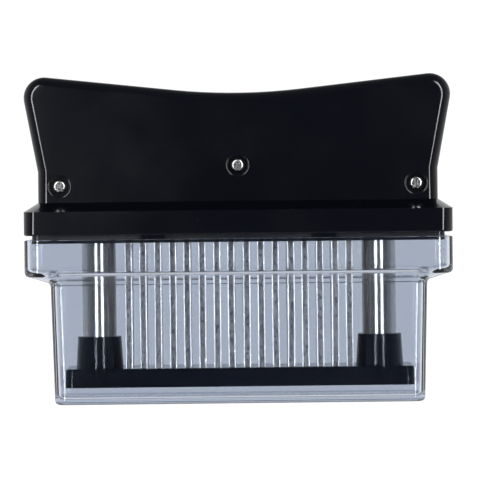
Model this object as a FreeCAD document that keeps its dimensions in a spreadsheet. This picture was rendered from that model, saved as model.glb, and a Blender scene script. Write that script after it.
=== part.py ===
import FreeCAD, Part
import math
import os
import Sketcher

# Blade meat tenderizer standing in its clear storage cover, in millimetres.
# The origin is the middle of the cover's underside, +X runs along the handle,
# -Y is the front with the screw heads, and +Z is up.

document = FreeCAD.newDocument("BladeMeatTenderizer")
sheet = document.addObject("Spreadsheet::Sheet", "Sizes")


# Sizes that carry their own sheet expression


class Measure:
    """A length as a number, with the sheet expression that drives it."""

    def __init__(self, value, text):
        self.value = float(value)
        self.text = text

    def joined(self, sign, other, value):
        return Measure(value, f"({self.text} {sign} {other.text})")

    def __add__(self, other):
        other = as_measure(other)
        return self.joined("+", other, self.value + other.value)

    def __sub__(self, other):
        other = as_measure(other)
        return self.joined("-", other, self.value - other.value)

    def __mul__(self, other):
        other = as_measure(other)
        return self.joined("*", other, self.value * other.value)

    def __truediv__(self, other):
        other = as_measure(other)
        return self.joined("/", other, self.value / other.value)

    def __neg__(self):
        return self * -1


def as_measure(number):
    if isinstance(number, Measure):
        return number
    return Measure(number, f"({number})")


zero = as_measure(0)


def whole_part(measure):
    """The largest whole number in a measure."""
    return Measure(math.floor(measure.value), f"floor({measure.text})")


def size(alias, value, meaning):
    """Write one driving dimension in the sheet and return it."""
    row = size.rows = size.rows + 1
    sheet.set(f"A{row}", alias)
    sheet.set(f"B{row}", str(value))
    sheet.set(f"C{row}", meaning)
    sheet.setAlias(f"B{row}", alias)
    return Measure(value, f"Sizes.{alias}")


size.rows = 0

# Storage cover
cover_length = size("cover_length", 150.0, "outside length of the upper box")
cover_depth = size("cover_depth", 42.0, "outside depth of the upper box")
cover_height = size("cover_height", 58.0, "height of the cover's rim")
cover_wall = size("cover_wall", 2.0, "thickness of the cover's walls")
cover_floor = size("cover_floor", 2.0, "thickness of the cover's floor")
cover_upper_height = size("cover_upper_height", 12.6, "straight wall of the upper box")
cover_shoulder_height = size("cover_shoulder_height", 2.8, "height of the sloping step")
cover_shelf = size("cover_shelf", 1.45, "how much higher the step lies inside than outside")
cover_step = size("cover_step", 9.0, "how far in each end wall steps at the shoulder")
cover_side_step = size("cover_side_step", 3.5, "how far in the front and rear walls step")
cover_draft = size("cover_draft", 1.0, "how much further in each wall stands at the floor")
cover_corner = size("cover_corner", 5.5, "plan radius of the upper box's corners")
lower_corner = size("lower_corner", 4.2, "plan radius of the lower box's corners")
cover_edge = size("cover_edge", 1.6, "faceted rounding of the cover's bottom edge")

# Handle
stop_gap = size("stop_gap", 1.5, "slit between the cover's rim and the skirt")
stop_pad_length = size("stop_pad_length", 8.0, "length of each stop pad under the skirt")
stop_pad_depth = size("stop_pad_depth", 1.4, "depth of each stop pad")
stop_pad_place = size("stop_pad_place", 30.0, "distance of the stop pads from the middle")
skirt_height = size("skirt_height", 8.4, "height of the skirt's upright face")
skirt_corner = size("skirt_corner", 4.0, "plan radius of the skirt's corners")
skirt_edge = size("skirt_edge", 0.7, "rounding of the skirt's lower edge")
shoulder_height = size("shoulder_height", 3.0, "height of the slope from skirt to grip")
grip_setback = size("grip_setback", 4.8, "how far in each end of the grip stands from the skirt")
grip_depth = size("grip_depth", 24.0, "depth of the grip")
grip_edge = size("grip_edge", 3.4, "rounding of the grip's long edges")
grip_straight = size("grip_straight", 10.8, "height of the grip's upright ends")
wing_flare = size("wing_flare", 4.7, "how far out each wing stands from the grip's end")
wing_height = size("wing_height", 55.5, "height of the wing tips above the skirt's underside")
wing_corner = size("wing_corner", 7.25, "radius of the wing tips")
saddle_drop = size("saddle_drop", 6.1, "depth of the saddle below the wing tips")
saddle_radius = size("saddle_radius", 205.0, "radius of the saddle's middle arc")
shell_wall = size("shell_wall", 2.2, "wall of the handle shells")
chamber_wall = size("chamber_wall", 3.5, "plastic between a column chamber and a hollow")
hollow_reach = size("hollow_reach", 3.0, "plastic over the middle hollow")
hollow_start = size("hollow_start", 4.0, "height of the hollows' floor above the shoulder's top")
end_hollow_roof = size("end_hollow_roof", 6.0, "top of a wing's hollow below the tip's centre")
chamber_roof = size("chamber_roof", 6.0, "top of a column chamber below the wing tips")

# Screws of the handle
side_screw_inset = size("side_screw_inset", 7.6, "distance of a side screw from the grip's end")
side_screw_rise = size("side_screw_rise", 5.7, "side screws above the shoulder")
middle_screw_rise = size("middle_screw_rise", 12.6, "middle screw above the shoulder")
screw_head = size("screw_head", 4.8, "diameter of a handle screw's head")
screw_head_height = size("screw_head_height", 1.9, "height of a handle screw's head")
screw_head_rim = size("screw_head_rim", 0.45, "upright share of a screw head's height")
screw_shank = size("screw_shank", 2.6, "diameter of a handle screw's shank")
screw_reach = size("screw_reach", 17.2, "length of a handle screw under its head")
screw_recess_width = size("screw_recess_width", 0.75, "width of the cross recess")
screw_recess_length = size("screw_recess_length", 2.9, "length of the cross recess")
screw_recess_depth = size("screw_recess_depth", 1.1, "depth of the cross recess")
counterbore_room = size("counterbore_room", 1.0, "room round a head in its counterbore")
head_sink = size("head_sink", 0.5, "how far a head lies below the front face")
counterbore_lip = size("counterbore_lip", 0.7, "rounding of that counterbore's mouth")
screw_boss = size("screw_boss", 8.0, "diameter of the boss round the middle screw")
screw_play = size("screw_play", 0.2, "clearance round a shank in a through hole")
pilot_play = size("pilot_play", 0.05, "clearance round a shank in its pilot hole")
pilot_end = size("pilot_end", 0.6, "room past the end of a screw")

# Base plate and blade holders
neck_play = size("neck_play", 0.8, "room round the base plate's neck in the cover's mouth")
neck_drop = size("neck_drop", 2.8, "how far the neck stands below the skirt")
neck_corner = size("neck_corner", 2.2, "plan radius of the neck's corners")
lip_height = size("lip_height", 1.2, "thickness of the skirt's inner lip")
flange_height = size("flange_height", 2.0, "thickness of the base plate's flange")
flange_reach = size("flange_reach", 1.0, "how far the flange stands out past the neck")
seat_play = size("seat_play", 0.1, "clearance of seated plastic pieces")
holder_gap = size("holder_gap", 0.2, "gap from a blade holder to a bush")
holder_end = size("holder_end", 0.55, "least plastic past the last blade of a holder")
holder_split = size("holder_split", 0.4, "gap between two blade holders")
holder_height = size("holder_height", 6.8, "height of a blade holder")
holder_room = size("holder_room", 0.5, "room round the three blade holders")

# Blades
blade_pitch = size("blade_pitch", 5.18, "distance from blade to blade")
row_pitch = size("row_pitch", 8.0, "distance from row to row")
blade_width = size("blade_width", 2.6, "width of a blade")
blade_thickness = size("blade_thickness", 0.6, "thickness of a blade")
blade_bevel = size("blade_bevel", 0.45, "width of the ground edge on each side")
blade_point = size("blade_point", 2.4, "height of a blade's point")
blade_tip = size("blade_tip", 1.5, "height of the blade tips above the foot's underside")
blade_top_room = size("blade_top_room", 0.5, "how far the blades end below the holder's top")
blade_play = size("blade_play", 0.05, "clearance of a blade in its holder and plate")
foot_slot_play = size("foot_slot_play", 0.25, "clearance of a blade in the foot's slot")

# Columns, bushes and springs
column_gap = size("column_gap", 5.2, "a column chamber's side to the nearest screw's axis")
column_diameter = size("column_diameter", 12.0, "outside diameter of a column tube")
column_wall = size("column_wall", 0.6, "wall of a column tube")
column_play = size("column_play", 0.05, "running clearance of a column in its bush")
column_clearance = size("column_clearance", 0.35, "clearance of a column in the base plate")
bush_ledge = size("bush_ledge", 0.4, "ledge of the chamber over a bush")
bush_height = size("bush_height", 8.0, "height of a guide bush")
bush_chamfer = size("bush_chamfer", 0.5, "chamfer of a bush's bore")
stop_ring_play = size("stop_ring_play", 0.3, "clearance of a stop ring in its chamber")
stop_ring_height = size("stop_ring_height", 2.3, "height of a column's stop ring")
chamber_diameter = size("chamber_diameter", 16.0, "bore of a column chamber")
seat_height = size("seat_height", 2.5, "height of a spring seat's disc")
seat_peg_height = size("seat_peg_height", 5.0, "length of a spring seat's peg")
peg_room = size("peg_room", 0.7, "room round the peg in the spring")
spring_room = size("spring_room", 0.5, "room round the spring in its column")
spring_wire = size("spring_wire", 1.0, "diameter of the spring wire")
spring_turns = size("spring_turns", 20, "turns of a spring")

# Pressure foot
foot_gap = size("foot_gap", 3.9, "height of the foot above the cover's floor")
foot_end = size("foot_end", 12.1, "how far the foot reaches past a column's axis")
foot_side = size("foot_side", 5.6, "how far the foot reaches past the outer blade rows")
foot_height = size("foot_height", 6.6, "thickness of the foot's plate")
foot_draft = size("foot_draft", 0.3, "how much further in each side stands at the top")
foot_corner = size("foot_corner", 3.0, "plan radius of the foot's corners")
foot_edge = size("foot_edge", 0.8, "faceted rounding of the foot's upper edge")
boss_height = size("boss_height", 11.0, "height of a boss above the foot's plate")
boss_top_wall = size("boss_top_wall", 1.65, "wall of a boss at its top")
boss_bottom_wall = size("boss_bottom_wall", 2.35, "wall of a boss at the plate")
boss_play = size("boss_play", 0.02, "clearance of a column in its boss")
foot_counterbore_depth = size("foot_counterbore_depth", 1.7, "depth of a foot screw's counterbore")
foot_web = size("foot_web", 1.5, "plastic between that counterbore and the column")
foot_screw_head = size("foot_screw_head", 6.0, "diameter of a foot screw's head")
foot_screw_head_height = size("foot_screw_head_height", 1.4, "height of a foot screw's head")
foot_screw_shank = size("foot_screw_shank", 3.0, "diameter of a foot screw's shank")
foot_screw_reach = size("foot_screw_reach", 7.0, "length of a foot screw under its head")
head_play = size("head_play", 0.5, "clearance round a foot screw's head")
plug_height = size("plug_height", 7.0, "height of the plug in a column")
plug_play = size("plug_play", 0.02, "clearance of the plug in the column")

# Levels and places worked out from the sizes above
rim_level = cover_height
skirt_level = rim_level + stop_gap
skirt_top = skirt_level + skirt_height
shoulder_top = skirt_top + shoulder_height
kink_level = shoulder_top + grip_straight
wing_level = skirt_level + wing_height
saddle_level = wing_level - saddle_drop
neck_level = skirt_level - neck_drop
flange_level = skirt_level + lip_height
plate_top = flange_level + flange_height
bush_top = plate_top + bush_height
chamber_top = wing_level - chamber_roof
holder_top = plate_top + holder_height
foot_level = cover_floor + foot_gap
foot_top = foot_level + foot_height
column_foot = foot_level + foot_counterbore_depth + foot_web
column_top = bush_top + stop_ring_height
plug_top = column_foot + plug_height
spring_top = chamber_top - seat_height
tip_level = foot_level + blade_tip

lower_length = cover_length - cover_step * 2
lower_depth = cover_depth - cover_side_step * 2
grip_length = cover_length - grip_setback * 2
neck_length = cover_length - (cover_wall + neck_play) * 2
neck_depth = cover_depth - (cover_wall + neck_play) * 2
side_screw_place = grip_length / 2 - side_screw_inset
column_place = side_screw_place - column_gap - chamber_diameter / 2
wing_middle_x = grip_length / 2 + wing_flare - wing_corner
wing_middle_z = wing_level - wing_corner
saddle_middle_z = saddle_level + saddle_radius
wing_lean = wing_flare / (wing_middle_z - kink_level)
bush_diameter = chamber_diameter + bush_ledge * 2
stop_ring = chamber_diameter - stop_ring_play * 2
spring_diameter = column_diameter - (column_wall + spring_room) * 2
seat_peg = spring_diameter - (spring_wire + peg_room) * 2
counterbore = screw_head + counterbore_room * 2
counterbore_depth = screw_head_height + head_sink
head_seat = grip_depth / 2 - counterbore_depth
boss_top = column_diameter + boss_top_wall * 2
boss_bottom = column_diameter + boss_bottom_wall * 2
foot_length = (column_place + foot_end) * 2
foot_depth = (row_pitch + foot_side) * 2

# The blade rows fill the room that the two bushes leave between them
holder_length = (column_place - bush_diameter / 2 - holder_gap) * 2
holder_depth = row_pitch - holder_split
blade_room = holder_length - holder_end * 2 - blade_width
blade_count = whole_part(blade_room / blade_pitch) + 1
first_blade = -(blade_pitch * (blade_count - 1) / 2)


# Small helpers for sketches and features

full_turn = 360
near = 0.01
# How far in the middle of a quarter round lies, as a share of its radius
quarter_round_inset = 1 - math.sqrt(0.5)


def body_named(label):
    body = document.addObject("PartDesign::Body", label)
    body.Label = label
    body.AllowCompound = True
    return body


def origin_part(body, role):
    for feature in body.Origin.OriginFeatures:
        if feature.Role == role:
            return feature
    raise ValueError(role)


def bind(item, name, measure):
    item.setExpression(name, as_measure(measure).text)


def sketch_on(body, role, height=zero):
    """A sketch on one of the body's own origin planes, raised along its normal."""
    sketch = body.newObject("Sketcher::SketchObject", "Outline")
    sketch.AttachmentSupport = [(origin_part(body, role), "")]
    sketch.MapMode = "FlatFace"
    bind(sketch, "AttachmentOffset.Base.z", height)
    return sketch


def constrain(sketch, parts, measure):
    index = sketch.addConstraint(Sketcher.Constraint(*parts, as_measure(measure).value))
    sketch.setExpression(f"Constraints[{index}]", as_measure(measure).text)


def hold_point(sketch, curve, end, across, up):
    constrain(sketch, ("DistanceX", -1, 1, curve, end), across)
    constrain(sketch, ("DistanceY", -1, 1, curve, end), up)


def arc_between(start, end, middle):
    """The shorter arc from start to end, and which of its ends lies at start."""
    first = math.atan2(start[1] - middle[1], start[0] - middle[0])
    last = math.atan2(end[1] - middle[1], end[0] - middle[0])
    radius = math.hypot(start[0] - middle[0], start[1] - middle[1])
    circle = Part.Circle(FreeCAD.Vector(middle[0], middle[1], 0), FreeCAD.Vector(0, 0, 1), radius)
    if (last - first) % (2 * math.pi) < math.pi:
        return Part.ArcOfCircle(circle, first, last), 1
    return Part.ArcOfCircle(circle, last, first), 2


def add_outline(sketch, corners, arcs=None):
    """Close an outline through corners; arcs maps a corner to the (x, y, radius) of its arc."""
    arcs = arcs or {}
    first = sketch.GeometryCount
    count = len(corners)
    starts = []
    for index in range(count):
        here = [value.value for value in corners[index]]
        there = [value.value for value in corners[(index + 1) % count]]
        if index in arcs:
            middle = [value.value for value in arcs[index][:2]]
            curve, start_end = arc_between(here, there, middle)
        else:
            curve = Part.LineSegment(FreeCAD.Vector(*here, 0), FreeCAD.Vector(*there, 0))
            start_end = 1
        starts.append(start_end)
        sketch.addGeometry(curve, False)
    for index in range(count):
        after = (index + 1) % count
        joint = ("Coincident", first + index, 3 - starts[index], first + after, starts[after])
        sketch.addConstraint(Sketcher.Constraint(*joint))
        hold_point(sketch, first + index, starts[index], *corners[index])
    for index, (across, up, radius) in arcs.items():
        constrain(sketch, ("Radius", first + index), radius)


def add_box(sketch, low_x, low_y, high_x, high_y):
    corners = [(low_x, low_y), (high_x, low_y), (high_x, high_y), (low_x, high_y)]
    add_outline(sketch, [tuple(as_measure(value) for value in corner) for corner in corners])


def add_rounded_box(sketch, length, depth, radius):
    """A rectangle about the sketch's origin with four round corners."""
    across = length / 2
    up = depth / 2
    corners = []
    arcs = {}
    for side_x, side_y in ((1, -1), (1, 1), (-1, 1), (-1, -1)):
        on_flat = ((across - radius) * side_x, up * side_y)
        on_end = (across * side_x, (up - radius) * side_y)
        turned = side_x * side_y < 0
        corners += [on_flat, on_end] if turned else [on_end, on_flat]
        arcs[len(corners) - 2] = ((across - radius) * side_x, (up - radius) * side_y, radius)
    add_outline(sketch, corners, arcs)


def add_circle(sketch, across, up, diameter):
    middle = FreeCAD.Vector(as_measure(across).value, as_measure(up).value, 0)
    circle = Part.Circle(middle, FreeCAD.Vector(0, 0, 1), diameter.value / 2)
    index = sketch.addGeometry(circle, False)
    hold_point(sketch, index, 3, across, up)
    constrain(sketch, ("Diameter", index), diameter)


def volume_of(body):
    document.recompute()
    return body.Shape.Volume


def pad(body, sketch, length, backwards=False):
    feature = body.newObject("PartDesign::Pad", "Pad")
    feature.Profile = sketch
    feature.Reversed = backwards
    bind(feature, "Length", length)
    return feature


def cut(body, sketch, length, backwards=False):
    """Cut the sketch's area out and make sure that it took material away."""
    before = volume_of(body)
    feature = body.newObject("PartDesign::Pocket", "Pocket")
    feature.Profile = sketch
    feature.Reversed = backwards
    bind(feature, "Length", length)
    if volume_of(body) >= before:
        raise ValueError(f"{body.Label}: a cut removed nothing")
    return feature


def loft(body, kind, sketches):
    feature = body.newObject(kind, "Loft")
    feature.Profile = sketches[0]
    feature.Sections = sketches[1:]
    feature.Ruled = True
    return feature


def round_edges(body, radius, wanted):
    """Round every edge of the body's shape that the test picks."""
    document.recompute()
    base = body.Tip
    names = [
        f"Edge{index}"
        for index, edge in enumerate(base.Shape.Edges, 1)
        if wanted(edge)
    ]
    feature = body.newObject("PartDesign::Fillet", "Rounding")
    feature.Base = (base, names)
    bind(feature, "Radius", radius)
    return feature


def repeat_along(body, original, role, count, pitch):
    """A straight row of copies of one feature, made the body's tip."""
    row = body.newObject("PartDesign::LinearPattern", "Row")
    row.Originals = [original]
    row.Direction = (origin_part(body, role), [""])
    row.Mode = "Spacing"
    bind(row, "Occurrences", count)
    bind(row, "Offset", pitch)
    body.Tip = row
    return row


def turned(label, profile, place=zero):
    """A part turned about the upright axis from a profile of (radius, height) points."""
    body = body_named(label)
    sketch = sketch_on(body, "XZ_Plane")
    add_outline(sketch, [(as_measure(across), as_measure(up)) for across, up in profile])
    feature = body.newObject("PartDesign::Revolution", "Turned")
    feature.Profile = sketch
    feature.ReferenceAxis = (origin_part(body, "Z_Axis"), [""])
    feature.Angle = full_turn
    bind(body, "Placement.Base.x", place)
    return body


def edge_at_height(edge, height):
    return all(abs(vertex.Z - height) < near for vertex in edge.Vertexes)


def lies_at_depth(edge, depth):
    """Whether an edge runs in the plane Y = depth."""
    box = edge.BoundBox
    return abs(box.YMin - depth) < near and abs(box.YMax - depth) < near


nodes = []
sides = (("left", -1), ("right", 1))


# Storage cover: a clear stepped box, open at the top


def rounded_boxes(body, levels):
    """A sketch for each (length, depth, corner, height) level."""
    sketches = []
    for length, depth, corner, level in levels:
        sketch = sketch_on(body, "XY_Plane", level)
        add_rounded_box(sketch, length, depth, corner)
        sketches.append(sketch)
    return sketches


def add_cover_form(body, wall, floor, shelf):
    """The lower box and the upper one on its sloping step, drawn in from the outside by a wall."""
    step_top = rim_level - cover_upper_height + shelf
    step_foot = step_top - cover_shoulder_height
    drawn_in = wall * 2
    long = lower_length - drawn_in
    deep = lower_depth - drawn_in
    corner = lower_corner - wall
    draft = cover_draft * 2
    facet = cover_edge * quarter_round_inset
    lower = [
        (long - draft - cover_edge * 2, deep - draft - cover_edge * 2, corner - cover_edge, floor),
        (long - draft - facet * 2, deep - draft - facet * 2, corner - facet, floor + facet),
        (long - draft, deep - draft, corner, floor + cover_edge),
        (long, deep, corner, step_foot),
        (long, deep, corner, step_top),
    ]
    full_long = cover_length - drawn_in
    full_deep = cover_depth - drawn_in
    upper = [
        (long, full_deep - cover_step * 2, corner, step_foot),
        (full_long, full_deep, cover_corner - wall, step_top),
        (full_long, full_deep, cover_corner - wall, rim_level),
    ]
    loft(body, "PartDesign::AdditiveLoft", rounded_boxes(body, lower))
    loft(body, "PartDesign::AdditiveLoft", rounded_boxes(body, upper))


def make_storage_cover():
    form = body_named("cover_form")
    add_cover_form(form, zero, zero, zero)
    cavity = body_named("cover_cavity")
    add_cover_form(cavity, cover_wall, cover_floor, cover_shelf)
    cover = document.addObject("Part::Cut", "storage_cover")
    cover.Label = "storage_cover"
    cover.Base = form
    cover.Tool = cavity
    if volume_of(cover) >= form.Shape.Volume:
        raise ValueError("the cover has no cavity")
    nodes.append(cover)


make_storage_cover()


# Handle shells: two halves that meet on the plane Y = 0


def add_grip_outline(sketch):
    """Grip, wings and saddle, with the wing tips and the saddle's arc tangent to their lines."""
    half = grip_length / 2
    low = skirt_level + skirt_height / 2
    lean = wing_lean.value
    radius = saddle_radius.value
    across = wing_middle_x.value
    up = saddle_middle_z.value - wing_middle_z.value
    slope = math.atan2(across, up) - math.acos((radius + wing_corner.value) / math.hypot(across, up))
    middle = sketch.GeometryCount
    arc_end = radius * math.sin(slope)
    circle = Part.Circle(
        FreeCAD.Vector(0, saddle_middle_z.value, 0), FreeCAD.Vector(0, 0, 1), radius
    )
    down = -math.pi / 2
    sketch.addGeometry(Part.ArcOfCircle(circle, down - slope, down + slope), False)
    constrain(sketch, ("DistanceX", -1, 1, middle, 3), zero)
    constrain(sketch, ("DistanceY", -1, 1, middle, 3), saddle_middle_z)
    constrain(sketch, ("Radius", middle), saddle_radius)
    arc_height = saddle_middle_z.value - radius * math.cos(slope)
    feet = []
    for side in (1, -1):
        first = sketch.GeometryCount
        centre = FreeCAD.Vector(side * wing_middle_x.value, wing_middle_z.value, 0)
        tip = Part.Circle(centre, FreeCAD.Vector(0, 0, 1), wing_corner.value)
        out_angle = -lean if side > 0 else math.pi + lean
        top_angle = math.pi / 2 + side * slope
        angles = (out_angle, top_angle) if side > 0 else (top_angle, out_angle)
        foot = FreeCAD.Vector(side * half.value, low.value, 0)
        kink = FreeCAD.Vector(side * half.value, kink_level.value, 0)
        outer = centre + FreeCAD.Vector(math.cos(out_angle), math.sin(out_angle), 0) * wing_corner.value
        upper = centre + FreeCAD.Vector(math.cos(top_angle), math.sin(top_angle), 0) * wing_corner.value
        saddle_end = FreeCAD.Vector(side * arc_end, arc_height, 0)
        sketch.addGeometry(Part.LineSegment(foot, kink), False)
        sketch.addGeometry(Part.LineSegment(kink, outer), False)
        sketch.addGeometry(Part.ArcOfCircle(tip, *angles), False)
        sketch.addGeometry(Part.LineSegment(upper, saddle_end), False)
        outer_end, upper_end = (1, 2) if side > 0 else (2, 1)
        hold_point(sketch, first, 1, half * side, low)
        hold_point(sketch, first, 2, half * side, kink_level)
        sketch.addConstraint(Sketcher.Constraint("Coincident", first, 2, first + 1, 1))
        sketch.addConstraint(Sketcher.Constraint("Tangent", first + 1, 2, first + 2, outer_end))
        sketch.addConstraint(Sketcher.Constraint("Tangent", first + 2, upper_end, first + 3, 1))
        middle_end = 2 if side > 0 else 1
        sketch.addConstraint(Sketcher.Constraint("Tangent", first + 3, 2, middle, middle_end))
        hold_point(sketch, first + 2, 3, wing_middle_x * side, wing_middle_z)
        constrain(sketch, ("Radius", first + 2), wing_corner)
        feet.append((first, foot))
    (right, right_foot), (left, left_foot) = feet
    floor = sketch.addGeometry(Part.LineSegment(left_foot, right_foot), False)
    sketch.addConstraint(Sketcher.Constraint("Coincident", floor, 1, left, 1))
    sketch.addConstraint(Sketcher.Constraint("Coincident", floor, 2, right, 1))


def add_half_section(sketch, length, depth, corner, side):
    """Half of a rounded rectangle: flat at Y = 0, round at its two outer corners."""
    across = length / 2
    out = depth / 2 * side
    turn = (depth / 2 - corner) * side
    corners = [
        (-across, zero),
        (-across, turn),
        (-(across - corner), out),
        (across - corner, out),
        (across, turn),
        (across, zero),
    ]
    arcs = {
        1: (-(across - corner), turn, corner),
        3: (across - corner, turn, corner),
    }
    add_outline(sketch, corners, arcs)


def add_hollows(sketch):
    """The middle hollow round its screw boss, and the hollow in each wing."""
    floor = shoulder_top + hollow_start
    across = column_place - chamber_diameter / 2 - chamber_wall
    add_box(sketch, -across, floor, across, saddle_level - hollow_reach)
    add_circle(sketch, zero, shoulder_top + middle_screw_rise, screw_boss)
    inner = column_place + chamber_diameter / 2 + chamber_wall
    outer = grip_length / 2 - shell_wall
    top = wing_middle_z - end_hollow_roof
    for side in (-1, 1):
        corners = [
            (inner * side, kink_level),
            (outer * side, kink_level),
            ((outer + wing_lean * (top - kink_level)) * side, top),
            (inner * side, top),
        ]
        add_outline(sketch, corners)


def screw_places():
    side_level = shoulder_top + side_screw_rise
    return (
        (-side_screw_place, side_level),
        (zero, shoulder_top + middle_screw_rise),
        (side_screw_place, side_level),
    )


def make_handle_shell(label, side):
    """side is -1 for the front shell and 1 for the rear one."""
    body = body_named(label)
    front = side < 0
    grip = sketch_on(body, "XZ_Plane")
    add_grip_outline(grip)
    pad(body, grip, grip_depth / 2, backwards=not front)
    outer = side * grip_depth.value / 2

    def on_grip_face(edge):
        return lies_at_depth(edge, outer) and edge.BoundBox.ZMax > skirt_top.value

    round_edges(body, grip_edge, on_grip_face)
    lower = sketch_on(body, "XY_Plane", skirt_level)
    add_half_section(lower, cover_length, cover_depth, skirt_corner, side)
    pad(body, lower, skirt_height)
    wide = sketch_on(body, "XY_Plane", skirt_top)
    add_half_section(wide, cover_length, cover_depth, skirt_corner, side)
    narrow = sketch_on(body, "XY_Plane", shoulder_top)
    add_half_section(narrow, grip_length, grip_depth, grip_edge, side)
    loft(body, "PartDesign::AdditiveLoft", [wide, narrow])

    def on_skirt_foot(edge):
        return edge_at_height(edge, skirt_level.value) and not lies_at_depth(edge, 0)

    round_edges(body, skirt_edge, on_skirt_foot)
    pads = sketch_on(body, "XY_Plane", rim_level)
    rim_line = cover_depth / 2 - cover_wall / 2
    for place in (-1, 1):
        add_box(
            pads,
            stop_pad_place * place - stop_pad_length / 2,
            rim_line * side - stop_pad_depth / 2,
            stop_pad_place * place + stop_pad_length / 2,
            rim_line * side + stop_pad_depth / 2,
        )
    pad(body, pads, stop_gap + lip_height / 2)

    mouth = sketch_on(body, "XY_Plane", skirt_level)
    add_rounded_box(mouth, neck_length + seat_play * 2, neck_depth + seat_play * 2, neck_corner)
    cut(body, mouth, lip_height, backwards=True)
    groove = sketch_on(body, "XY_Plane", flange_level)
    spread = (flange_reach + seat_play) * 2
    add_rounded_box(groove, neck_length + spread, neck_depth + spread, neck_corner)
    cut(body, groove, flange_height, backwards=True)
    room = sketch_on(body, "XY_Plane", plate_top)
    room_half = holder_length / 2 + holder_room
    room_deep = row_pitch + holder_depth / 2 + holder_room
    add_box(room, -room_half, -room_deep, room_half, room_deep)
    cut(body, room, holder_height + seat_play, backwards=True)
    bores = sketch_on(body, "XY_Plane", plate_top)
    for place in (-1, 1):
        add_circle(bores, column_place * place, zero, bush_diameter + seat_play)
    cut(body, bores, bush_height, backwards=True)
    chambers = sketch_on(body, "XY_Plane", bush_top)
    for place in (-1, 1):
        add_circle(chambers, column_place * place, zero, chamber_diameter)
    cut(body, chambers, chamber_top - bush_top, backwards=True)
    hollows = sketch_on(body, "XZ_Plane")
    add_hollows(hollows)
    cut(body, hollows, grip_depth / 2 - shell_wall, backwards=front)

    holes = sketch_on(body, "XZ_Plane")
    play = screw_play if front else pilot_play
    for across, level in screw_places():
        add_circle(holes, across, level, screw_shank + play * 2)
    depth = grip_depth / 2 if front else screw_reach - head_seat + pilot_end
    cut(body, holes, depth, backwards=front)
    if front:
        recesses = sketch_on(body, "XZ_Plane", head_seat)
        for across, level in screw_places():
            add_circle(recesses, across, level, counterbore)
        cut(body, recesses, counterbore_depth, backwards=True)

        def on_counterbore_mouth(edge):
            width = edge.BoundBox.XLength
            return lies_at_depth(edge, outer) and abs(width - counterbore.value) < near

        round_edges(body, counterbore_lip, on_counterbore_mouth)
    nodes.append(body)


make_handle_shell("front_handle_shell", -1)
make_handle_shell("rear_handle_shell", 1)


# Screws: a domed pan head with a cross recess, and a plain shank for the thread


def make_screw(label, head, head_height, shank, reach, seat):
    """One screw that points along +Z, with the underside of its head at the level seat."""
    body = body_named(label)
    sketch = sketch_on(body, "XZ_Plane")
    dome = head_height * (as_measure(1) - screw_head_rim)
    dome_radius = (head * head / 4 + dome * dome) / (dome * 2)
    profile = [
        (zero, seat - head_height),
        (head / 2, seat - head_height + dome),
        (head / 2, seat),
        (shank / 2, seat),
        (shank / 2, seat + reach - shank / 2),
        (zero, seat + reach),
    ]
    add_outline(sketch, profile, {0: (zero, seat - head_height + dome_radius, dome_radius)})
    feature = body.newObject("PartDesign::Revolution", "Turned")
    feature.Profile = sketch
    feature.ReferenceAxis = (origin_part(body, "Z_Axis"), [""])
    feature.Angle = full_turn
    cross = sketch_on(body, "XY_Plane", seat - head_height)
    wide = screw_recess_width / 2
    long = screw_recess_length / 2
    corners = []
    for quarter in range(4):
        turn = [(long, -wide), (long, wide), (wide, wide)]
        for across, up in turn:
            for _ in range(quarter):
                across, up = -up, across
            corners.append((across, up))
    add_outline(cross, corners)
    cut(body, cross, screw_recess_depth, backwards=True)
    return body


def group(label, parts):
    compound = document.addObject("Part::Compound", label)
    compound.Label = label
    compound.Links = parts
    nodes.append(compound)


def make_handle_screws():
    screws = []
    for index, (across, level) in enumerate(screw_places(), 1):
        label = f"handle_screw_{index}"
        screw = make_screw(label, screw_head, screw_head_height, screw_shank, screw_reach, zero)
        screw.Placement.Rotation = FreeCAD.Rotation(FreeCAD.Vector(1, 0, 0), -90)
        bind(screw, "Placement.Base.x", across)
        bind(screw, "Placement.Base.y", -head_seat)
        bind(screw, "Placement.Base.z", level)
        screws.append(screw)
    group("handle_screws", screws)


def make_foot_screws():
    screws = []
    for name, side in sides:
        seat = foot_level + foot_counterbore_depth
        sizes = (foot_screw_head, foot_screw_head_height, foot_screw_shank, foot_screw_reach)
        screw = make_screw(f"foot_screw_{name}", *sizes, seat)
        bind(screw, "Placement.Base.x", column_place * side)
        screws.append(screw)
    group("foot_screws", screws)


make_handle_screws()
make_foot_screws()


# Blades, their holders and the base plate


def add_blade_slot(sketch, row, play):
    across = blade_width / 2 + play
    up = blade_thickness / 2 + play
    middle = row_pitch * row
    add_box(sketch, first_blade - across, middle - up, first_blade + across, middle + up)


def slot_rows(body, rows, play, level, depth):
    """Slots for whole rows of blades, cut upwards from a level."""
    sketch = sketch_on(body, "XY_Plane", level)
    for row in rows:
        add_blade_slot(sketch, row, play)
    slot = cut(body, sketch, depth, backwards=True)
    repeat_along(body, slot, "X_Axis", blade_count, blade_pitch)


def make_base_plate():
    body = body_named("base_plate")
    neck = sketch_on(body, "XY_Plane", neck_level)
    add_rounded_box(neck, neck_length, neck_depth, neck_corner)
    pad(body, neck, neck_drop + lip_height)
    flange = sketch_on(body, "XY_Plane", flange_level)
    spread = flange_reach * 2
    add_rounded_box(flange, neck_length + spread, neck_depth + spread, neck_corner)
    pad(body, flange, flange_height)
    holes = sketch_on(body, "XY_Plane", neck_level)
    for side in (-1, 1):
        add_circle(holes, column_place * side, zero, column_diameter + column_clearance * 2)
    thickness = neck_drop + lip_height + flange_height
    cut(body, holes, thickness, backwards=True)
    slot_rows(body, (-1, 0, 1), blade_play, neck_level, thickness)
    nodes.append(body)


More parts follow.
